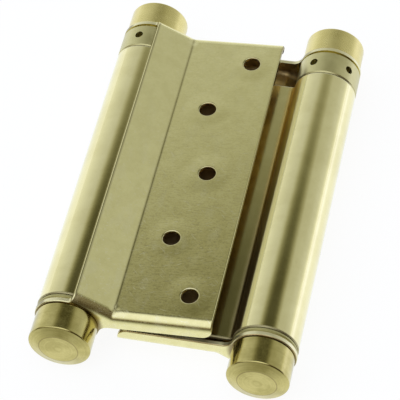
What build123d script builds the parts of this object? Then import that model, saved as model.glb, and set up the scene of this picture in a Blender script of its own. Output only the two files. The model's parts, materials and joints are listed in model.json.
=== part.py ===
from build123d import *
import math
import os

os.makedirs("parts", exist_ok=True)

# Double-action spring hinge, loosely closed and lying on its back, in millimetres.
# X runs across the hinge, Y along the barrels with the tension collars at +Y, Z is up.
# The floor is Z = 0. The two leaves are the same pressing, turned by half a turn.

# Driving sizes of the barrels
tube_radius = 10.75
tube_rim = 0.3
axis_span = 64.2
cap_step = 0.55
cap_side = 9.8
cap_crown = 1.3
cap_disc_radius = 6.4
cap_rim = 0.5
cap_root = 0.3
collar_height = 10.0
collar_rim = 0.4
plug_flange = 1.4
plug_step = 0.3
ear_rim = 0.8
pin_hole_radius = 1.45
pin_hole_depth = 5.0
pin_hole_count = 5
left_pin_turn = 111.5
right_pin_turn = 121.0

# Driving sizes of the leaves and the web
leaf_height = 125.0
sheet = 1.5
bend_outer = 3.2
crease_x = 15.9
free_x = 48.0
face_over_axis = 4.8
crease_radius = 1.0
band_length = 14.05
flange_drop = 1.5
flange_corner = 4.0
ear_corner = 1.2
ear_fillet = 4.0
web_fillet = 1.2
edge_round = 0.4
hole_radius = 2.8
head_radius = 3.3
hole_break = 0.5
outer_hole_x = 38.65
outer_hole_y = 50.95
inner_hole_x = 27.6
inner_hole_y = 28.45
middle_hole_x = 33.5

# How far each leaf stands open from the plane of the two barrels, in degrees
front_swing = 6.2
rear_swing = 2.0

# Driving sizes of the inner parts
spindle_radius = 4.0
tenon_radius = 3.0
tenon_in_cap = 7.0
boss_length = 6.0
spigot_radius = 5.5
spigot_length = 8.0
wire_width = 2.6
coil_turns = 12

# Clearances
band_clear = 0.5
ear_play = 0.15
end_gap = 0.3
running_fit = 0.05
press_fit = 0.02
boss_clear = 0.3
seam_gap = 0.25
coil_gap = 0.1

# Heights along the barrels, from the middle of the leaves
leaf_top = leaf_height / 2
ear_inner = leaf_top - sheet
collar_top = ear_inner - ear_play
collar_low = collar_top - collar_height
tube_top = collar_low - end_gap
plug_low = -ear_inner + ear_play
plug_top = plug_low + plug_flange
tube_low = plug_top + end_gap
tube_length = tube_top - tube_low
tube_bore = tube_radius - sheet
cap_radius = tube_radius - cap_step
plug_radius = tube_radius - plug_step
# The flat ends of collar and plug stop where the bend between band and ear begins
rim_start = tube_radius + band_clear - (bend_outer - sheet)

# Leaf section, from its barrel axis: local x towards the free edge, local y out of the leaf
# The band is a plane that passes the tube at band_clear, drawn from the crease
band_offset = tube_radius + band_clear + sheet
crease_reach = math.hypot(crease_x, face_over_axis)
slope = math.asin(band_offset / crease_reach) - math.atan2(face_over_axis, crease_x)
tangent_length = math.sqrt(crease_reach**2 - band_offset**2)
band_dir = Vector(-math.cos(slope), math.sin(slope))
band_in = Vector(-math.sin(slope), -math.cos(slope))
crease = Vector(crease_x, face_over_axis)
crease_inner = crease + Vector(-math.tan(slope / 2), -1) * sheet
band_end = crease + band_dir * band_length

# At rest the left barrel and the rounded cut edge of the rear band touch the floor
rear_open = math.radians(rear_swing)
rest_spot = band_end + (band_in - band_dir) * edge_round
rest_run = axis_span - rest_spot.X * math.cos(rear_open) + rest_spot.Y * math.sin(rear_open)
rest_drop = rest_spot.X * math.sin(rear_open) + rest_spot.Y * math.cos(rear_open)
rest_rise = math.asin((tube_radius - edge_round) / math.hypot(rest_run, rest_drop))
web_turn = math.atan2(rest_drop, rest_run) - rest_rise
front_turn = web_turn + math.radians(front_swing)
rear_turn = web_turn + rear_open

# Section planes, all with local z towards -Y
along = Vector(0, 1, 0)
web_half = axis_span / 2
web_across = Vector(math.cos(web_turn), 0, math.sin(web_turn))
front_across = Vector(math.cos(front_turn), 0, math.sin(front_turn))
rear_across = Vector(-math.cos(rear_turn), 0, -math.sin(rear_turn))
middle = Vector(0, 0, tube_radius + web_half * math.sin(web_turn))
left_foot = middle - web_across * web_half
right_foot = middle + web_across * web_half
web_section = Plane(origin=middle, x_dir=web_across, z_dir=-along)
front_section = Plane(origin=left_foot, x_dir=front_across, z_dir=-along)
rear_section = Plane(origin=right_foot, x_dir=rear_across, z_dir=-along)


def bend_edges(block, section, corner, corner_radius, half_height):
    """The end edges of a block over its flat, crease and band, at both ends."""
    half_turn = math.tan(slope / 2)
    arc_middle = corner + (band_dir + Vector(1, 0)) * (corner_radius * half_turn / 4)
    picks = []
    for side in (-half_height, half_height):
        for spot in (corner + Vector(20, 0), arc_middle, corner + band_dir * 20):
            point = section.from_local_coords(Vector(spot.X, spot.Y, side))
            picks.append(block.edges().sort_by_distance(point)[0])
    return picks


def make_leaf(section):
    """One pressed leaf: flat, crease, band, and both ends bent over into flanges with ears."""
    past_tangent = band_length - tangent_length
    lobe_depth = band_offset - math.sqrt(tube_radius**2 - past_tangent**2)
    lobe_corner = band_end + band_in * lobe_depth
    flange_root = Vector(math.sqrt(tube_radius**2 - flange_drop**2), -flange_drop)
    flange_end = Vector(free_x, -flange_drop)
    far = 40.0

    # The hollow under the sheet, with the inner radius at its bends
    with BuildPart() as hollow:
        with BuildSketch(section) as hollow_face:
            with BuildLine():
                Polyline(
                    crease_inner + Vector(2 * far, 0),
                    crease_inner,
                    crease_inner + band_dir * far,
                    Vector(-2 * far, -far),
                    Vector(2 * far, -far),
                    close=True,
                )
            make_face()
            bend = hollow_face.vertices().sort_by_distance(crease_inner)[0]
            fillet(bend, crease_radius + sheet)
        extrude(amount=ear_inner, both=True)
        picks = bend_edges(hollow, section, crease_inner, crease_radius + sheet, ear_inner)
        fillet(picks, bend_outer - sheet)

    with BuildPart() as leaf:
        # The outside of the pressing as a block, with the outer radius at its bends
        with BuildSketch(section) as block_face:
            with BuildLine():
                Polyline(
                    crease + Vector(1.5 * far, 0),
                    crease,
                    crease + band_dir * 0.8 * far,
                    Vector(-1.5 * far, -0.8 * far),
                    Vector(1.1 * far, -0.8 * far),
                    close=True,
                )
            make_face()
            bend = block_face.vertices().sort_by_distance(crease)[0]
            fillet(bend, crease_radius)
        extrude(amount=leaf_top, both=True)
        fillet(bend_edges(leaf, section, crease, crease_radius, leaf_top), bend_outer)
        add(hollow.part, mode=Mode.SUBTRACT)
        # The outline that both flanges and the free edges are cut to
        with BuildSketch(section) as outline:
            with BuildLine():
                Polyline(
                    Vector(free_x, far),
                    band_end - band_in * far,
                    band_end + band_in * band_offset,
                    Vector(0, -flange_drop),
                    flange_end,
                    close=True,
                )
            make_face()
            Circle(tube_radius)
            fillet(outline.vertices().sort_by_distance(lobe_corner)[0], ear_corner)
            fillet(outline.vertices().sort_by_distance(flange_root)[0], ear_fillet)
            fillet(outline.vertices().sort_by_distance(flange_end)[0], flange_corner)
            Circle(tenon_radius + press_fit, mode=Mode.SUBTRACT)
        extrude(amount=leaf_height, both=True, mode=Mode.INTERSECT)
        # Five screw holes, sunk from the inner face where the screw heads sit
        seat = section.from_local_coords(Vector(0, face_over_axis - sheet, 0))
        with Locations(Plane(origin=seat, x_dir=section.x_dir, z_dir=-section.y_dir)):
            with Locations(
                (outer_hole_x, outer_hole_y),
                (outer_hole_x, -outer_hole_y),
                (inner_hole_x, inner_hole_y),
                (inner_hole_x, -inner_hole_y),
                (middle_hole_x, 0),
            ):
                CounterSinkHole(hole_radius, head_radius, depth=2 * sheet, counter_sink_angle=90)
        # The rims of the holes are rounded on the outer face
        flat_spot = section.from_local_coords(Vector(crease_x + 5, face_over_axis, 0))
        outer_face = leaf.faces().sort_by_distance(flat_spot)[0]
        fillet(outer_face.edges().filter_by(GeomType.CIRCLE), hole_break)
        # The cut edge is rounded on the outer side, all the way round the leaf
        edge_spot = section.from_local_coords(Vector(band_end.X, band_end.Y, 0))
        fillet(leaf.edges().sort_by_distance(edge_spot)[0], edge_round)
    return leaf


def barrel_plane(foot):
    """A plane through a barrel axis: local x is the radius, local y runs along the barrel."""
    return Plane(origin=foot, x_dir=(1, 0, 0), z_dir=(0, 0, 1))


def make_collar(foot, turn):
    """Tension collar: a ring with pin holes, a boss in the tube and a spigot for the spring."""
    boss_low = collar_low - boss_length
    spigot_low = boss_low - spigot_length
    bore = spindle_radius + running_fit
    with BuildPart() as collar:
        with BuildSketch(barrel_plane(foot)):
            with BuildLine():
                Polyline(
                    (bore, collar_top),
                    (rim_start, collar_top),
                    (tube_radius, collar_top - ear_rim),
                    (tube_radius, collar_low + collar_rim),
                    (tube_radius - collar_rim, collar_low),
                    (tube_bore - boss_clear, collar_low),
                    (tube_bore - boss_clear, boss_low),
                    (spigot_radius, boss_low),
                    (spigot_radius, spigot_low),
                    (bore, spigot_low),
                    close=True,
                )
            make_face()
        revolve(axis=Axis(foot, along))
        # Blind holes for a tension pin, evenly round the ring
        ring_middle = foot + along * (collar_top + collar_low) / 2
        for step in range(pin_hole_count):
            angle = math.radians(turn + 360 * step / pin_hole_count)
            radial = Vector(math.cos(angle), 0, math.sin(angle))
            with Locations(Plane(origin=ring_middle + radial * tube_radius, z_dir=radial)):
                Hole(pin_hole_radius, depth=pin_hole_depth)
    return collar


def make_plug(foot):
    """Bottom plug: a flange under the tube, a boss pressed into it and a spigot for the spring."""
    boss_top = plug_top + end_gap + boss_length
    spigot_top = boss_top + spigot_length
    bore = spindle_radius + running_fit
    with BuildPart() as plug:
        with BuildSketch(barrel_plane(foot)):
            with BuildLine():
                Polyline(
                    (bore, plug_low),
                    (rim_start, plug_low),
                    (plug_radius, plug_low + ear_rim),
                    (plug_radius, plug_top),
                    (tube_bore - press_fit, plug_top),
                    (tube_bore - press_fit, boss_top),
                    (spigot_radius, boss_top),
                    (spigot_radius, spigot_top),
                    (bore, spigot_top),
                    close=True,
                )
            make_face()
        revolve(axis=Axis(foot, along))
    return plug


def make_spindle(foot):
    """Spindle with a shoulder against each ear and a tenon into each cap."""
    shoulder = ear_inner - press_fit
    tenon_end = leaf_top + tenon_in_cap
    with BuildPart() as spindle:
        with BuildSketch(barrel_plane(foot)):
            with BuildLine():
                Polyline(
                    (0, -tenon_end),
                    (tenon_radius, -tenon_end),
                    (tenon_radius, -shoulder),
                    (spindle_radius, -shoulder),
                    (spindle_radius, shoulder),
                    (tenon_radius, shoulder),
                    (tenon_radius, tenon_end),
                    (0, tenon_end),
                    close=True,
                )
            make_face()
        revolve(axis=Axis(foot, along))
    return spindle


def make_cap(foot, side):
    """End cap with a coned end and a flat middle disc; side is 1 at the top and -1 at the bottom."""
    root = leaf_top + press_fit
    rim = leaf_top + cap_side
    bore = tenon_radius + press_fit
    bore_end = leaf_top + tenon_in_cap + press_fit
    with BuildPart() as cap:
        with BuildSketch(barrel_plane(foot)) as profile:
            with BuildLine():
                Polyline(
                    (bore, side * root),
                    (cap_radius - cap_root, side * root),
                    (cap_radius, side * (root + cap_root)),
                    (cap_radius, side * rim),
                    (cap_disc_radius, side * (rim + cap_crown)),
                    (0, side * (rim + cap_crown)),
                    (0, side * bore_end),
                    (bore, side * bore_end),
                    close=True,
                )
            make_face()
            fillet(profile.vertices().sort_by_distance(Vector(cap_radius, side * rim))[0], cap_rim)
        revolve(axis=Axis(foot, along))
    return cap


def make_spring(foot):
    """Torsion spring round the two spigots, between the plug's boss and the collar's boss."""
    low = plug_top + end_gap + boss_length + wire_width / 2 + coil_gap
    high = collar_low - boss_length - wire_width / 2 - coil_gap
    mean_radius = (spigot_radius + tube_bore) / 2
    with BuildPart() as spring:
        with BuildLine() as coil:
            Helix(
                pitch=(high - low) / coil_turns,
                height=high - low,
                radius=mean_radius,
                center=foot + along * low,
                direction=along,
            )
        with BuildSketch(Plane(origin=coil.line @ 0, x_dir=along, z_dir=coil.line % 0)):
            Rectangle(wire_width, wire_width)
        sweep(is_frenet=True)
    return spring


front_leaf = make_leaf(front_section)
rear_leaf = make_leaf(rear_section)

# Centre web and its two rolled tubes: a round fold on one side of each root, the roll's seam on the other
with BuildPart() as centre_web:
    with BuildSketch(web_section.offset(-tube_top)) as rolled:
        Rectangle(2 * web_half, sheet)
        with Locations((-web_half, 0), (web_half, 0)):
            Circle(tube_radius)
        root_x = web_half - math.sqrt(tube_radius**2 - sheet**2 / 4)
        fillet(rolled.vertices().sort_by_distance(Vector(root_x, sheet / 2))[0], web_fillet)
        fillet(rolled.vertices().sort_by_distance(Vector(-root_x, -sheet / 2))[0], web_fillet)
        with Locations((-web_half, 0), (web_half, 0)):
            Circle(tube_bore, mode=Mode.SUBTRACT)
        seam_x = web_half - tube_radius
        seam_y = (sheet + seam_gap) / 2
        with Locations((seam_x, -seam_y), (-seam_x, seam_y)):
            Rectangle(3 * sheet, seam_gap, mode=Mode.SUBTRACT)
    extrude(amount=tube_length)
    rounds = centre_web.edges().filter_by(GeomType.CIRCLE)
    rims = rounds.filter_by(lambda edge: abs(edge.radius - tube_radius) < press_fit)
    chamfer(rims, tube_rim)

left_tension_collar = make_collar(left_foot, left_pin_turn)
right_tension_collar = make_collar(right_foot, right_pin_turn)
left_bottom_plug = make_plug(left_foot)
right_bottom_plug = make_plug(right_foot)
left_spindle = make_spindle(left_foot)
right_spindle = make_spindle(right_foot)
left_top_cap = make_cap(left_foot, 1)
left_bottom_cap = make_cap(left_foot, -1)
right_top_cap = make_cap(right_foot, 1)
right_bottom_cap = make_cap(right_foot, -1)
left_spring = make_spring(left_foot)
right_spring = make_spring(right_foot)

front_leaf.part.label = "front_leaf"
rear_leaf.part.label = "rear_leaf"
centre_web.part.label = "centre_web"
left_tension_collar.part.label = "left_tension_collar"
right_tension_collar.part.label = "right_tension_collar"
left_bottom_plug.part.label = "left_bottom_plug"
right_bottom_plug.part.label = "right_bottom_plug"
left_spindle.part.label = "left_spindle"
right_spindle.part.label = "right_spindle"
left_top_cap.part.label = "left_top_cap"
left_bottom_cap.part.label = "left_bottom_cap"
right_top_cap.part.label = "right_top_cap"
right_bottom_cap.part.label = "right_bottom_cap"
left_spring.part.label = "left_spring"
right_spring.part.label = "right_spring"

export_step(front_leaf.part, "parts/front_leaf.step")
export_step(rear_leaf.part, "parts/rear_leaf.step")
export_step(centre_web.part, "parts/centre_web.step")
export_step(left_tension_collar.part, "parts/left_tension_collar.step")
export_step(right_tension_collar.part, "parts/right_tension_collar.step")
export_step(left_bottom_plug.part, "parts/left_bottom_plug.step")
export_step(right_bottom_plug.part, "parts/right_bottom_plug.step")
export_step(left_spindle.part, "parts/left_spindle.step")
export_step(right_spindle.part, "parts/right_spindle.step")
export_step(left_top_cap.part, "parts/left_top_cap.step")
export_step(left_bottom_cap.part, "parts/left_bottom_cap.step")
export_step(right_top_cap.part, "parts/right_top_cap.step")
export_step(right_bottom_cap.part, "parts/right_bottom_cap.step")
export_step(left_spring.part, "parts/left_spring.step")
export_step(right_spring.part, "parts/right_spring.step")
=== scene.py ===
"""Looks of the spring hinge: brass and steel finishes, a white table and soft studio light."""
import json
import math

import bpy
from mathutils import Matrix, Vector


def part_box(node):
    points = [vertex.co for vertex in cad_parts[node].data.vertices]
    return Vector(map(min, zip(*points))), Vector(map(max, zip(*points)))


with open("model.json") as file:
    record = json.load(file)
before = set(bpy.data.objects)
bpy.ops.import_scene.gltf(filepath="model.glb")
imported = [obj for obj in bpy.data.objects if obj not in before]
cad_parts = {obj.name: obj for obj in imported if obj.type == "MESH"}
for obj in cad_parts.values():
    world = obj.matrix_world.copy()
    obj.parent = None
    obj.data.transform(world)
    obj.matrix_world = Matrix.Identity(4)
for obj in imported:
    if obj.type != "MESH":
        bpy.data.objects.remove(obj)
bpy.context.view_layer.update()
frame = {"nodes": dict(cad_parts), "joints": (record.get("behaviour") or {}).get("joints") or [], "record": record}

nodes = frame["nodes"]
scene = bpy.context.scene
feet = {joint["child"]: Vector(joint["pos_m"]) for joint in frame["joints"]}
mounts = {mount["name"]: mount for mount in frame["record"]["mounts"]}

MILLIMETRE = 0.001
MICROMETRE = 0.000001

# Sizes of the pieces that the finishes go by, in metres and radians. The crease is given from the axis of
# the leaf's barrel, along the flat and square to it.
LEAF_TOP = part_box("front_leaf")[1].y
TUBE_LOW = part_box("centre_web")[0].y
TUBE_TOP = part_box("centre_web")[1].y
SHEET = 0.0015
CREASE_ALONG = 0.0159
CREASE_UP = 0.0048
BEND = 0.0032
BAND_SLOPE = 0.5824

# Where a mark on a leaf fades in or out, in metres from a hole's centre, from the crease or from the axis
HOLE_RIM = (0.0033, 0.0036)
HOLE_DRAW = (0.0028, 0.0090)
PINCH_REACH = 0.0022
CREASE_LINE = (0.0003, 0.0008)
BAND_LIP = (0.0040, 0.0042, 0.0045, 0.0051)
EAR_SHADE_REACH = (0.0105, 0.0125)
EAR_INSIDE = (0.0112, 0.0130)

# Where an edge of a flange or a bend blurs, in metres from where the sheet turns
FLANGE_BLUR = (-0.0001, 0.0001)
BEND_BLUR = (-0.0008, 0.0006)

# Where a mark on the web and tubes fades in or out, in metres across from the axis of the tube beside it,
# from the middle of the web, or from the tube's end
FOLD = (-0.0131, -0.0108, -0.0088, -0.0078)
FOLD_SHEEN_RISE = (-0.0108, -0.0086)
SHEEN_STRIP = (-0.0086, -0.0079, -0.0070, -0.0062)
BEHIND_LEAF = (-0.0250, -0.0175)
WEB_FLAT = (0.0185, 0.0205)
TUBE_RIM = (0.0004, 0.0007)

# Where a mark changes from the bottom of the hinge to its top, in metres along the barrels from the middle
LEAF_MARKS_FADE = (-0.05, 0.04)
FREE_EDGE_WEAR = (-0.03, 0.03)
HIDDEN_SHADE_FADE = (-0.05, 0.03)
WEB_SHADE_FADE = (-0.045, 0.015)
FOLD_SHADE_FADE = (-0.04, 0.035)
PEEL_FADE = (-0.04, 0.03)
RIM_BRIGHTENS = (-0.01, 0.01)

# How far a face turns towards the web before it counts as the hidden side of its leaf, as a cosine
TURNED_IN = (-0.7, -0.4)

# Radius and half width of the ring line on the end of a cap, in metres
CAP_RING = 0.0064
CAP_RING_HALF = 0.0003

# Turn in radians, and fineness, of each set of scratches
SCRATCHES = ((1.45, 2600.0), (1.95, 2300.0), (0.75, 2000.0))

# Colours of the plate and tubes with their specks and cut edges; of painted shade on edges, web, hidden sides and
# grooves; of a painted sheen; and of the lacquer, with a lit and a shaded copy of it
LEAF_DARK = (0.79, 0.71, 0.33, 1.0)
LEAF_LIGHT = (0.87, 0.79, 0.385, 1.0)
TUBE_DARK = (0.82, 0.73, 0.365, 1.0)
TUBE_LIGHT = (0.88, 0.79, 0.41, 1.0)
TUBE_SPECK = (0.52, 0.45, 0.18, 1.0)
WEB_SHADE = (0.50, 0.44, 0.21, 1.0)
CUT_METAL = (0.91, 0.84, 0.53, 1.0)
SPECK_AND_SHADE = (0.38, 0.33, 0.17, 1.0)
PAINTED_SHEEN = (1.0, 0.92, 0.45, 1.0)
DEEP_SHADE = (0.16, 0.10, 0.04, 1.0)
INSIDE_DARK = (0.47, 0.335, 0.14, 1.0)
INSIDE_LIGHT = (0.60, 0.45, 0.20, 1.0)
LACQUER = (0.86, 0.55, 0.08, 1.0)
LACQUER_LIT = (1.0, 0.77, 0.17, 1.0)
LACQUER_SHADED = (0.20, 0.135, 0.045, 1.0)

# Turned finishes: dark and light colour, least and most roughness, and depth of the rings in micrometres
TURNED = {
    "collar_brass": ((0.59, 0.53, 0.245, 1.0), (0.67, 0.605, 0.288, 1.0), 0.30, 0.40, 0.8),
    # The caps at both ends share one finish, in a lit copy and a shaded copy: the bottom caps' darker colour is
    # painted shade
    "cap_brass_lit": ((0.73, 0.615, 0.228, 1.0), (0.81, 0.69, 0.275, 1.0), 0.24, 0.32, 0.5),
    "ring_brass": ((0.50, 0.45, 0.19, 1.0), (0.58, 0.525, 0.235, 1.0), 0.46, 0.56, 0.8),
    "cap_brass_shaded": ((0.48, 0.405, 0.135, 1.0), (0.65, 0.555, 0.21, 1.0), 0.13, 0.20, 0.6),
    "bare_steel": ((0.40, 0.40, 0.39, 1.0), (0.52, 0.52, 0.50, 1.0), 0.28, 0.40, 1.5),
}
BARREL_FINISHES = {
    "tension_collar": "collar_brass",
    "bottom_plug": "ring_brass",
    "top_cap": "cap_brass_lit",
    "bottom_cap": "cap_brass_shaded",
    "spindle": "bare_steel",
    "spring": "bare_steel",
}

# Slightly cool daylight, the tint it takes behind and before the hinge as its level falls from FULL to 0,
# and how much bluer it gets for each unit of level over 1
DAYLIGHT = (0.94, 1.0, 1.05)
BACK_DIM = (1.08, 1.0, 0.42)
FRONT_DIM = (1.5, 1.0, 0.42)
BLUE_RISE = 0.9
FULL = 0.65
BRIGHTEST = 1.3
LIGHT_LEVELS = (0.0, 0.1, 0.2, 0.35, 0.5, FULL, 1.0, BRIGHTEST)
WHITE = (1.0, 1.0, 1.0, 1.0)

# White table: its size, its drop below the hinge, how far its light fades towards the camera and where
# the glare lies on it, in metres, and then its paint, light levels and glow
TABLE_SIZE = 8.0
TABLE_DROP = 0.0002
TABLE_FADE = 0.3
GLARE_RIGHT = (0.07, 0.22)
GLARE_BACK = (0.20, 0.34)
TABLE_PAINT = (0.86, 0.86, 0.86, 1.0)
TABLE_LEVEL = 1.08
TABLE_GLARE = 0.40
TABLE_GLOW = 1.08
TABLE_GLOW_SHARE = 0.84

# Studio, by direction: where its left wall meets the right one, where its back starts, and how much lower
# the soft box's light falls to the right
WALLS_MEET = (-0.25, 0.25)
BACK_STARTS = (0.05, 0.30)
SOFT_BOX_SLANT = 1.1

# Camera at the photograph's place, in metres and radians, with its lens and sensor in millimetres
CAMERA_PLACE = (0.079052, -0.418234, 0.542992)
CAMERA_TURN = (0.669576, -0.016521, 0.211691)
CAMERA_LENS = 181.6491
CAMERA_SENSOR = 36.0


def node(tree, kind, inputs=None, **settings):
    """Adds a node. An input given as a socket is linked, and any other value is set on it."""
    made = tree.nodes.new(kind)
    for name, value in settings.items():
        setattr(made, name, value)
    for name, value in (inputs or {}).items():
        if isinstance(value, bpy.types.NodeSocket):
            tree.links.new(value, made.inputs[name])
        else:
            made.inputs[name].default_value = value
    return made


def math_node(tree, operation, a, b=0.0, c=0.0, clamp=False):
    """One arithmetic step on numbers or sockets."""
    made = node(tree, "ShaderNodeMath", {0: a, 1: b, 2: c}, operation=operation, use_clamp=clamp)
    return made.outputs[0]


def chain(tree, operation, first, *others):
    """One arithmetic operation carried through several numbers, such as their largest."""
    for value in others:
        first = math_node(tree, operation, first, value)
    return first


def times(tree, *values):
    """The product of some numbers."""
    return chain(tree, "MULTIPLY", *values)


def total(tree, *terms):
    """The sum of numbers, each a (socket, weight) pair."""
    amount = math_node(tree, "MULTIPLY", *terms[0])
    for value, weight in terms[1:]:
        amount = math_node(tree, "MULTIPLY_ADD", value, weight, amount)
    return amount


def vector_node(tree, operation, a, b=(0.0, 0.0, 0.0)):
    """One vector step. Dot products and lengths come back as numbers."""
    made = node(tree, "ShaderNodeVectorMath", {0: a, 1: b}, operation=operation)
    return made.outputs["Value" if operation in ("DOT_PRODUCT", "LENGTH") else "Vector"]


def dot(tree, a, b):
    """How far one vector goes along another."""
    return vector_node(tree, "DOT_PRODUCT", a, b)


def offset(tree, place, origin):
    """The vector from a fixed origin to a point."""
    return vector_node(tree, "SUBTRACT", place, origin)


def stretched(tree, vector, scale):
    """Coordinates scaled by axis, to draw a noise out into lines."""
    return vector_node(tree, "MULTIPLY", vector, scale)


def coordinates(tree, vector):
    """The X, Y and Z of a vector, by letter."""
    return node(tree, "ShaderNodeSeparateXYZ", {"Vector": vector}).outputs


def remap(tree, value, low, high, to_low=0.0, to_high=1.0):
    """Maps low..high smoothly to to_low..to_high, and holds the ends."""
    made = node(
        tree,
        "ShaderNodeMapRange",
        {"Value": value, "From Min": low, "From Max": high, "To Min": to_low, "To Max": to_high},
        interpolation_type="SMOOTHSTEP",
    )
    return made.outputs["Result"]


def between(tree, value, edges, level=1.0):
    """Rises from 0 to a level over the first two edges, and falls back to 0 over the last two."""
    start, full, falling, end = edges
    return times(tree, remap(tree, value, start, full), remap(tree, value, falling, end, level, 0.0))


def noise(tree, vector, scale, detail=3.0, roughness=0.55):
    """Noise from 0 to 1, with scale in features per metre."""
    inputs = {"Vector": vector, "Scale": scale, "Detail": detail, "Roughness": roughness}
    return node(tree, "ShaderNodeTexNoise", inputs).outputs["Fac"]


def mix(tree, factor, a, b):
    """Blends two colours, each a socket or an RGBA value."""
    made = node(tree, "ShaderNodeMix", {0: factor, 6: a, 7: b}, data_type="RGBA")
    return made.outputs[2]


def ramp(tree, value, stops):
    """A colour that follows some stops, each a place from 0 to 1 and a colour, along a value."""
    made = node(tree, "ShaderNodeValToRGB", {"Fac": value})
    elements = made.color_ramp.elements
    while len(elements) < len(stops):
        elements.new(0.5)
    for element, (spot, colour) in zip(elements, stops):
        element.position = spot
        element.color = colour
    return made.outputs["Color"]


def hairlines(tree, place, turn, scale):
    """Sparse straight scratches, 1 on a scratch and 0 elsewhere."""
    drawn_out = {"Vector": place, "Rotation": (0.0, 0.0, turn), "Scale": (1.0, 25.0, 1.0)}
    turned = node(tree, "ShaderNodeMapping", drawn_out, vector_type="TEXTURE")
    return remap(tree, noise(tree, turned.outputs["Vector"], scale, 1.0), 0.68, 0.76)


def nearest(tree, place, spots):
    """Distance to the nearest of some spots, which are the same at both ends of the hinge."""
    parts = coordinates(tree, place)
    reach = math_node(tree, "ABSOLUTE", parts["Y"])
    folded = node(tree, "ShaderNodeCombineXYZ", {"X": parts["X"], "Y": reach, "Z": parts["Z"]})
    away = [vector_node(tree, "LENGTH", offset(tree, folded.outputs["Vector"], spot)) for spot in spots]
    return chain(tree, "MINIMUM", *away)


def from_axis(tree, place, foot):
    """Distance from the line through a foot that runs along the barrels."""
    across = stretched(tree, offset(tree, place, foot), (1.0, 0.0, 1.0))
    return vector_node(tree, "LENGTH", across)


def start_metal(name):
    """A new metal material: its tree, its shader, and the object's own coordinates and normals."""
    material = bpy.data.materials.new(name)
    material.use_nodes = True
    tree = material.node_tree
    tree.nodes.clear()
    shader = node(tree, "ShaderNodeBsdfPrincipled", {"Metallic": 1.0})
    output = node(tree, "ShaderNodeOutputMaterial")
    tree.links.new(shader.outputs["BSDF"], output.inputs["Surface"])
    place = node(tree, "ShaderNodeTexCoord")
    return material, tree, shader, place.outputs["Object"], place.outputs["Normal"]


def finish_metal(tree, shader, colour, roughness, height):
    """Plugs colour, roughness and a height in micrometres of relief into a metal's shader."""
    bump = node(tree, "ShaderNodeBump", {"Height": height, "Strength": 1.0, "Distance": MICROMETRE})
    tree.links.new(colour, shader.inputs["Base Color"])
    tree.links.new(roughness, shader.inputs["Roughness"])
    tree.links.new(bump.outputs["Normal"], shader.inputs["Normal"])


class Pressing:
    """Places and directions on one leaf at rest: square to its flat, across it, and of its sloped band."""

    def __init__(self, side):
        self.side = side
        self.foot = feet[side + "_leaf"]
        self.normal = Vector(mounts[side + "_leaf_face"]["axis"])
        self.sideways = Vector((self.normal.z, 0.0, -self.normal.x))
        self.band_out = math.sin(BAND_SLOPE) * self.sideways + math.cos(BAND_SLOPE) * self.normal
        self.band_end = -math.cos(BAND_SLOPE) * self.sideways + math.sin(BAND_SLOPE) * self.normal
        self.crease = self.foot + self.sideways * CREASE_ALONG + self.normal * CREASE_UP
        self.crease_end = self.crease + Vector((0.0, LEAF_TOP - BEND, 0.0))
        self.holes = []
        for name in ("outer_screws", "inner_screws", "middle_screw"):
            mount = mounts[side + "_" + name]
            half_pitch = mount["dims"].get("pcd_mm", 0.0) * MILLIMETRE / 2
            self.holes.append(Vector(mount["pos_m"]) + Vector((0.0, half_pitch, 0.0)))


def buffed_plate(tree, place, facing, leaf):
    """Satin plate: its colour, and the marks in it by name. Most of them are plainer towards the bottom."""
    low = remap(tree, coordinates(tree, place)["Y"], *LEAF_MARKS_FADE, 1.0, 0.3)
    grain = noise(tree, place, 1000.0, 3.0, 0.6)
    cloud = noise(tree, place, 210.0, 4.0)
    mottle = total(tree, (grain, 0.35), (cloud, 0.65))
    colour = mix(tree, remap(tree, mottle, 0.32, 0.68), LEAF_DARK, LEAF_LIGHT)

    buffing = noise(tree, stretched(tree, place, (0.18, 1.0, 1.0)), 2000.0, 3.0, 0.6)
    specks = total(tree, (buffing, 0.55), (noise(tree, place, 1700.0, 2.0, 0.6), 0.45))
    buffed = times(tree, remap(tree, dot(tree, facing, leaf.normal), 0.97, 0.995), low)
    dark_specks = times(tree, remap(tree, specks, 0.38, 0.52, 0.34, 0.0), buffed)
    light_specks = times(tree, remap(tree, specks, 0.52, 0.64, 0.0, 0.45), buffed)
    colour = mix(tree, dark_specks, colour, SPECK_AND_SHADE)
    colour = mix(tree, light_specks, colour, CUT_METAL)

    smears = noise(tree, stretched(tree, place, (1.0, 0.42, 1.0)), 240.0, 2.0)
    smears = times(tree, remap(tree, smears, 0.52, 0.68), low)
    scratches = [hairlines(tree, place, turn, scale) for turn, scale in SCRATCHES]
    scratches = times(tree, chain(tree, "MAXIMUM", *scratches), low)
    bright = chain(tree, "MAXIMUM", times(tree, smears, 0.25), scratches)
    colour = mix(tree, bright, colour, CUT_METAL)
    speckle = times(tree, grain, math_node(tree, "MULTIPLY_ADD", low, 5.0, 0.6))
    marks = {"cloud": cloud, "mottle": mottle, "smears": smears, "scratches": scratches, "speckle": speckle}
    return colour, marks


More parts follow.
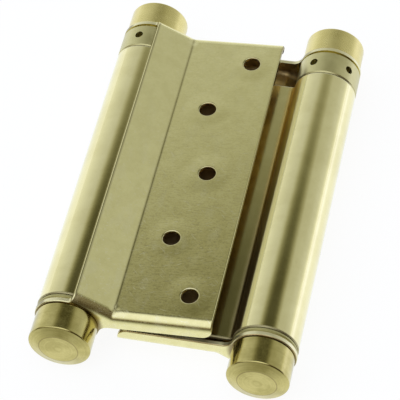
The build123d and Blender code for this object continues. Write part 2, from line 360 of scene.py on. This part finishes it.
def sheared_edges(tree, place, facing, leaf):
    """Masks of a leaf's edges: cut at all, cut on flanges and ears, painted dark as painted shade, and the crease.
    """
    along = coordinates(tree, place)["Y"]
    free = remap(tree, dot(tree, facing, leaf.sideways), 0.5, 0.8)
    band_cut = remap(tree, dot(tree, facing, leaf.band_end), 0.9, 0.97)
    reach = math_node(tree, "ABSOLUTE", along)
    tip = remap(tree, reach, *(LEAF_TOP - SHEET + blur for blur in FLANGE_BLUR))
    end_on = math_node(tree, "ABSOLUTE", coordinates(tree, facing)["Y"])
    rims = times(tree, tip, remap(tree, end_on, 0.2, 0.4, 1.0, 0.0))
    cut = chain(tree, "MAXIMUM", free, band_cut, rims)

    # Painted shade: the free edge is painted dark towards the top, the band's end and the crease darker, and a
    # line beside the band's end dark as a painted dark reflection of its rounded edge
    on_band = remap(tree, dot(tree, facing, leaf.band_out), 0.85, 0.95)
    from_foot = dot(tree, offset(tree, place, leaf.foot), leaf.sideways)
    lip = times(tree, between(tree, from_foot, BAND_LIP, 0.75), on_band)
    creased = remap(tree, from_axis(tree, place, leaf.crease), *CREASE_LINE, 1.0, 0.0)
    free_edge_shade = times(tree, free, remap(tree, along, *FREE_EDGE_WEAR, 0.0, 0.9))
    painted_edge_shade = chain(tree, "MAXIMUM", free_edge_shade, times(tree, band_cut, 0.95), lip, times(tree, creased, 0.35))
    return cut, rims, painted_edge_shade, creased


def shade_and_dull_inside(tree, place, facing, leaf, colour, cloud, rims):
    """A leaf's colour with painted shade round the caps, on its hidden side and in dark patches inside its
    flanges, and that side's mask.
    """
    along = coordinates(tree, place)["Y"]
    axis_distance = from_axis(tree, place, leaf.foot)
    end_facing = times(tree, coordinates(tree, facing)["Y"], math_node(tree, "SIGN", along))
    on_ear = remap(tree, end_facing, 0.6, 0.9)
    # The ear's end face is painted dark near the barrel, as painted shade where it meets the cap
    ear_shade = times(tree, on_ear, remap(tree, axis_distance, *EAR_SHADE_REACH, 0.8, 0.0))
    colour = mix(tree, ear_shade, colour, DEEP_SHADE)

    end_inside = times(tree, end_facing, remap(tree, axis_distance, *EAR_INSIDE))
    outward = [dot(tree, facing, direction) for direction in (leaf.normal, leaf.band_out)]
    inward = chain(tree, "MINIMUM", end_inside, *outward)
    inside = math_node(tree, "SUBTRACT", remap(tree, inward, *TURNED_IN, 1.0, 0.0), rims, clamp=True)
    # The hidden side is painted a darker brown, as painted shade between the parts; the front leaf's is painted
    # darker still towards the bottom
    hidden_shade = mix(tree, remap(tree, cloud, 0.42, 0.58), INSIDE_DARK, INSIDE_LIGHT)
    if leaf.side == "front":
        hidden_shade = mix(tree, remap(tree, along, *HIDDEN_SHADE_FADE, 0.6, 0.0), hidden_shade, DEEP_SHADE)
    colour = mix(tree, inside, colour, hidden_shade)
    # Inside the flanges and ears, dark patches are a painted dark reflection of the hidden interior
    in_flange = remap(tree, end_inside, *TURNED_IN, 1.0, 0.0)
    colour = mix(tree, times(tree, in_flange, remap(tree, cloud, 0.38, 0.56, 0.8, 0.15)), colour, DEEP_SHADE)
    return colour, inside


def leaf_brass(side):
    """Pressed leaf: satin plate, raised round its holes, with buffing marks and sheared edges."""
    material, tree, shader, place, facing = start_metal(side + "_leaf_brass")
    leaf = Pressing(side)
    colour, marks = buffed_plate(tree, place, facing, leaf)
    cut, rims, painted_edge_shade, creased = sheared_edges(tree, place, facing, leaf)
    hole_distance = nearest(tree, place, leaf.holes)
    # The chamfer round each hole is painted darker, as painted shade that tones down its reflection
    colour = mix(tree, remap(tree, hole_distance, *HOLE_RIM, 0.35, 0.0), colour, SPECK_AND_SHADE)
    colour = mix(tree, times(tree, cut, 0.7), colour, CUT_METAL)
    colour = mix(tree, painted_edge_shade, colour, SPECK_AND_SHADE)
    colour, inside = shade_and_dull_inside(tree, place, facing, leaf, colour, marks["cloud"], rims)

    # The bends at both ends, the cut edges and the hidden side are rougher than the plate
    reach = math_node(tree, "ABSOLUTE", coordinates(tree, place)["Y"])
    bent = remap(tree, reach, *(LEAF_TOP - BEND + blur for blur in BEND_BLUR))
    roughness = total(
        tree,
        (marks["mottle"], 0.08),
        (marks["smears"], 0.05),
        (bent, 0.12),
        (cut, 0.14),
        (marks["scratches"], 0.06),
        (inside, 0.22),
        (creased, 0.08),
    )
    roughness = math_node(tree, "ADD", roughness, 0.08)

    # The sheet waves a little, is drawn up round the holes and is pinched at the ends of the crease
    height = total(
        tree,
        (marks["speckle"], 1.0),
        (noise(tree, place, 75.0, 2.0), 18.0),
        (remap(tree, hole_distance, *HOLE_DRAW, 1.0, 0.0), 55.0),
        (remap(tree, nearest(tree, place, [leaf.crease_end]), 0.0, PINCH_REACH, 1.0, 0.0), -160.0),
        (marks["scratches"], -2.4),
        (marks["smears"], -0.8),
    )
    finish_metal(tree, shader, colour, roughness, height)
    return material


def tube_brass():
    """Rolled tubes and web: polished plate with faint lines along it, rough rims and lacquered roots, with painted
    shade and painted highlights on the web, the fold and the rims.
    """
    material, tree, shader, place, facing = start_metal("tube_brass")
    along = coordinates(tree, place)["Y"]
    cloud = noise(tree, place, 110.0, 4.0)
    specks = remap(tree, noise(tree, place, 1500.0, 2.0), 0.70, 0.78)
    colour = mix(tree, remap(tree, cloud, 0.35, 0.65), TUBE_DARK, TUBE_LIGHT)
    colour = mix(tree, times(tree, specks, 0.3), colour, TUBE_SPECK)

    # Inset runs across the hinge, from the axis of the tube that shows beside a leaf: the right one on the
    # front and the left one on the back
    middle = (feet["front_leaf"] + feet["rear_leaf"]) / 2
    half_span = (feet["rear_leaf"] - feet["front_leaf"]).x / 2
    from_middle = coordinates(tree, offset(tree, place, middle))["X"]
    front = math_node(tree, "SIGN", coordinates(tree, facing)["Z"])
    inset = math_node(tree, "MULTIPLY_ADD", from_middle, front, -half_span)

    # The web is painted darker towards the bottom, and a darker brown where a leaf hides it, both as painted shade
    flat = remap(tree, from_axis(tree, place, middle), *WEB_FLAT, 1.0, 0.0)
    web_low_shade = times(tree, flat, remap(tree, along, *WEB_SHADE_FADE, 0.8, 0.0))
    hidden = times(tree, flat, remap(tree, inset, *BEHIND_LEAF, 1.0, 0.0))
    hidden_shade = mix(tree, remap(tree, cloud, 0.40, 0.60), INSIDE_DARK, INSIDE_LIGHT)
    colour = mix(tree, hidden, mix(tree, web_low_shade, colour, WEB_SHADE), hidden_shade)

    # Amber lacquer lies in the fold between web and tube, painted lighter towards the tube as a painted highlight
    # and darker towards the bottom as painted shade. A strip of the tube beside it is painted light, a painted
    # highlight
    fold = between(tree, inset, FOLD)
    fold_lacquer_and_shade = mix(tree, remap(tree, inset, *FOLD_SHEEN_RISE), LACQUER, LACQUER_LIT)
    fold_lacquer_and_shade = mix(tree, remap(tree, along, *FOLD_SHADE_FADE), LACQUER_SHADED, fold_lacquer_and_shade)
    colour = mix(tree, fold, colour, fold_lacquer_and_shade)
    sheen_strip = between(tree, inset, SHEEN_STRIP)
    colour = mix(tree, sheen_strip, colour, PAINTED_SHEEN)

    # The tubes' ends are sheared: the top rims have the light colour of cut metal, and the bottom rims are painted
    # dark as painted shade
    near, far = TUBE_RIM
    low_rim = remap(tree, along, TUBE_LOW + near, TUBE_LOW + far, 1.0, 0.0)
    rim = chain(tree, "MAXIMUM", low_rim, remap(tree, along, TUBE_TOP - far, TUBE_TOP - near))
    rim_colour = mix(tree, remap(tree, along, *RIM_BRIGHTENS), SPECK_AND_SHADE, CUT_METAL)
    colour = mix(tree, times(tree, rim, 0.7), colour, rim_colour)

    roughness = total(
        tree,
        (cloud, 0.06),
        (rim, 0.3),
        (fold, 0.35),
        (sheen_strip, 0.6),
        (flat, 0.05),
        (hidden, 0.4),
    )
    roughness = math_node(tree, "ADD", roughness, 0.07)
    lines = noise(tree, stretched(tree, place, (1.0, 0.02, 1.0)), 2200.0, 2.0)
    waves = noise(tree, stretched(tree, place, (1.0, 0.35, 1.0)), 140.0, 3.0)
    peel = times(tree, noise(tree, place, 1000.0, 2.0), remap(tree, along, *PEEL_FADE, 6.0, 1.2))
    finish_metal(tree, shader, colour, roughness, total(tree, (lines, 0.5), (waves, 9.0), (peel, 1.0)))
    return material


def turned_metal(name, dark, light, smooth, rough, depth):
    """Turned part: tool rings round its own barrel axis, on the sides and on the ends."""
    material, tree, shader, place, _ = start_metal(name)
    radii = [from_axis(tree, place, feet[leaf]) for leaf in ("front_leaf", "rear_leaf")]
    radius = chain(tree, "MINIMUM", *radii)
    along = coordinates(tree, place)["Y"]
    section = node(tree, "ShaderNodeCombineXYZ", {"X": radius, "Y": along}).outputs["Vector"]
    rings = noise(tree, section, 2600.0, 3.0, 0.6)
    cloud = noise(tree, place, 170.0, 4.0)
    fine = noise(tree, place, 2200.0, 2.0)
    shade = total(tree, (rings, 0.3), (cloud, 0.7))
    colour = mix(tree, remap(tree, shade, 0.36, 0.64), dark, light)
    roughness = remap(tree, math_node(tree, "ADD", fine, cloud), 0.7, 1.3, smooth, rough)
    groove = math_node(tree, "ABSOLUTE", math_node(tree, "SUBTRACT", radius, CAP_RING))
    groove = remap(tree, groove, 0.0, CAP_RING_HALF, 1.0, 0.0)
    # The ring line is painted darker, as painted shade in its groove
    colour = mix(tree, times(tree, groove, 0.45), colour, DEEP_SHADE)
    finish_metal(tree, shader, colour, roughness, total(tree, (rings, depth), (cloud, 6.0), (groove, -25.0)))
    return material


def dress_nodes():
    """Gives every piece its finish."""
    turned = {name: turned_metal(name, *looks) for name, looks in TURNED.items()}
    finishes = {side + "_leaf": leaf_brass(side) for side in ("front", "rear")}
    finishes["centre_web"] = tube_brass()
    for side in ("left", "right"):
        for piece, finish in BARREL_FINISHES.items():
            finishes[side + "_" + piece] = turned[finish]
    for name, finish in finishes.items():
        nodes[name].data.materials.clear()
        nodes[name].data.materials.append(finish)


def levels(tree, value, stops):
    """A number that follows some stops, each a place and a level, along a value from 0 to 1."""
    return ramp(tree, value, [(spot, (level, level, level, 1.0)) for spot, level in stops])


def daylight(tree, level, dim):
    """Daylight of a level from 0 to BRIGHTEST, tinted towards dim where it is low."""
    stops = []
    for step in LIGHT_LEVELS:
        share = min(1.0, step / FULL)
        red, green, blue = (step * full * (low + (1.0 - low) * share) for full, low in zip(DAYLIGHT, dim))
        blue *= 1.0 + BLUE_RISE * max(0.0, step - 1.0)
        stops.append((step / BRIGHTEST, (red, green, blue, 1.0)))
    return ramp(tree, times(tree, level, 1 / BRIGHTEST), stops)


def make_table():
    """White table top that keeps a soft trace of the shadow. For metal it has a painted glow: dim towards the
    camera, with a patch of glare to the right.
    """
    bpy.ops.mesh.primitive_plane_add(size=TABLE_SIZE, location=(0.0, 0.0, -TABLE_DROP))
    floor = bpy.context.object
    floor.name = "table"
    material = bpy.data.materials.new("table_white")
    material.use_nodes = True
    tree = material.node_tree
    tree.nodes.clear()
    path = node(tree, "ShaderNodeLightPath").outputs
    seen = chain(tree, "MAXIMUM", path["Is Camera Ray"], path["Is Glossy Ray"], path["Is Transmission Ray"])

    # Metal sees the table dim towards the camera, and brighter to the right
    spot = coordinates(tree, node(tree, "ShaderNodeNewGeometry").outputs["Position"])
    depth = math_node(tree, "MULTIPLY_ADD", spot["Y"], 1 / TABLE_FADE, 1.0)
    fade = [(0.15, 0.08), (0.55, 0.30), (0.70, 0.80), (0.75, 0.95), (0.81, 1.02), (1.0, 1.0)]
    near = levels(tree, depth, fade)
    to_right = remap(tree, spot["X"], *GLARE_RIGHT, 0.0, TABLE_GLARE)
    glare = times(tree, to_right, remap(tree, spot["Y"], *GLARE_BACK, 1.0, 0.0))
    lit = times(tree, near, math_node(tree, "ADD", glare, TABLE_LEVEL))
    white = mix(tree, path["Is Camera Ray"], daylight(tree, lit, BACK_DIM), WHITE)

    paint = node(tree, "ShaderNodeBsdfDiffuse", {"Color": TABLE_PAINT})
    glow = node(tree, "ShaderNodeEmission", {"Color": white, "Strength": TABLE_GLOW})
    share = times(tree, seen, TABLE_GLOW_SHARE)
    surface = node(tree, "ShaderNodeMixShader", {0: share, 1: paint.outputs[0], 2: glow.outputs[0]})
    output = node(tree, "ShaderNodeOutputMaterial")
    tree.links.new(surface.outputs[0], output.inputs["Surface"])
    floor.data.materials.append(material)


def make_world():
    """White backdrop for the camera, and for the rest a studio lit from behind and from a soft box."""
    world = bpy.data.worlds.new("studio")
    scene.world = world
    world.use_nodes = True
    tree = world.node_tree
    tree.nodes.clear()
    direction = coordinates(tree, node(tree, "ShaderNodeTexCoord").outputs["Generated"])
    across, depth, height = (direction[letter] for letter in "XYZ")

    # Behind the hinge: a lit wall to the left, a brighter horizon to the right, and a dim gap overhead
    gap = [(0.81, 0.07), (0.86, 0.07), (0.90, 0.40), (0.94, 0.90), (1.0, 1.1)]
    left_wall = [(0.0, 0.93), (0.2, 0.83), (0.66, 0.61), (0.71, 0.48), (0.75, 0.28), (0.79, 0.125)]
    horizon = [(0.0, 1.28), (0.04, 1.18), (0.08, 0.93)]
    right_wall = horizon + [(0.2, 0.71), (0.45, 0.58), (0.69, 0.53), (0.75, 0.31), (0.79, 0.10)]
    left = levels(tree, height, left_wall + gap)
    right = levels(tree, height, right_wall + gap)
    behind = daylight(tree, mix(tree, remap(tree, across, *WALLS_MEET), left, right), BACK_DIM)

    # Before it: a soft box overhead to the left, over a dark room
    to_right = math_node(tree, "MAXIMUM", across, 0.0)
    dip = math_node(tree, "MULTIPLY_ADD", to_right, -SOFT_BOX_SLANT, height)
    soft_box = [(0.12, 0.06), (0.2, 0.16), (0.3, 0.45), (0.4, 0.80), (0.5, 1.02), (0.6, 1.12)]
    ahead = daylight(tree, levels(tree, dip, soft_box), FRONT_DIM)
    seen = mix(tree, remap(tree, depth, *BACK_STARTS, 1.0, 0.0), behind, ahead)

    studio = node(tree, "ShaderNodeBackground", {"Color": seen, "Strength": 1.0})
    white = node(tree, "ShaderNodeBackground", {"Color": WHITE, "Strength": 1.0})
    to_camera = node(tree, "ShaderNodeLightPath").outputs["Is Camera Ray"]
    surface = node(tree, "ShaderNodeMixShader", {0: to_camera, 1: studio.outputs[0], 2: white.outputs[0]})
    output = node(tree, "ShaderNodeOutputWorld")
    tree.links.new(surface.outputs[0], output.inputs["Surface"])


def make_camera():
    """Camera at the photograph's place."""
    data = bpy.data.cameras.new("camera")
    data.sensor_width = CAMERA_SENSOR
    data.lens = CAMERA_LENS
    camera = bpy.data.objects.new("camera", data)
    camera.location = CAMERA_PLACE
    camera.rotation_euler = CAMERA_TURN
    scene.collection.objects.link(camera)
    scene.camera = camera


dress_nodes()
make_table()
make_world()
make_camera()
scene.view_settings.view_transform = "Standard"
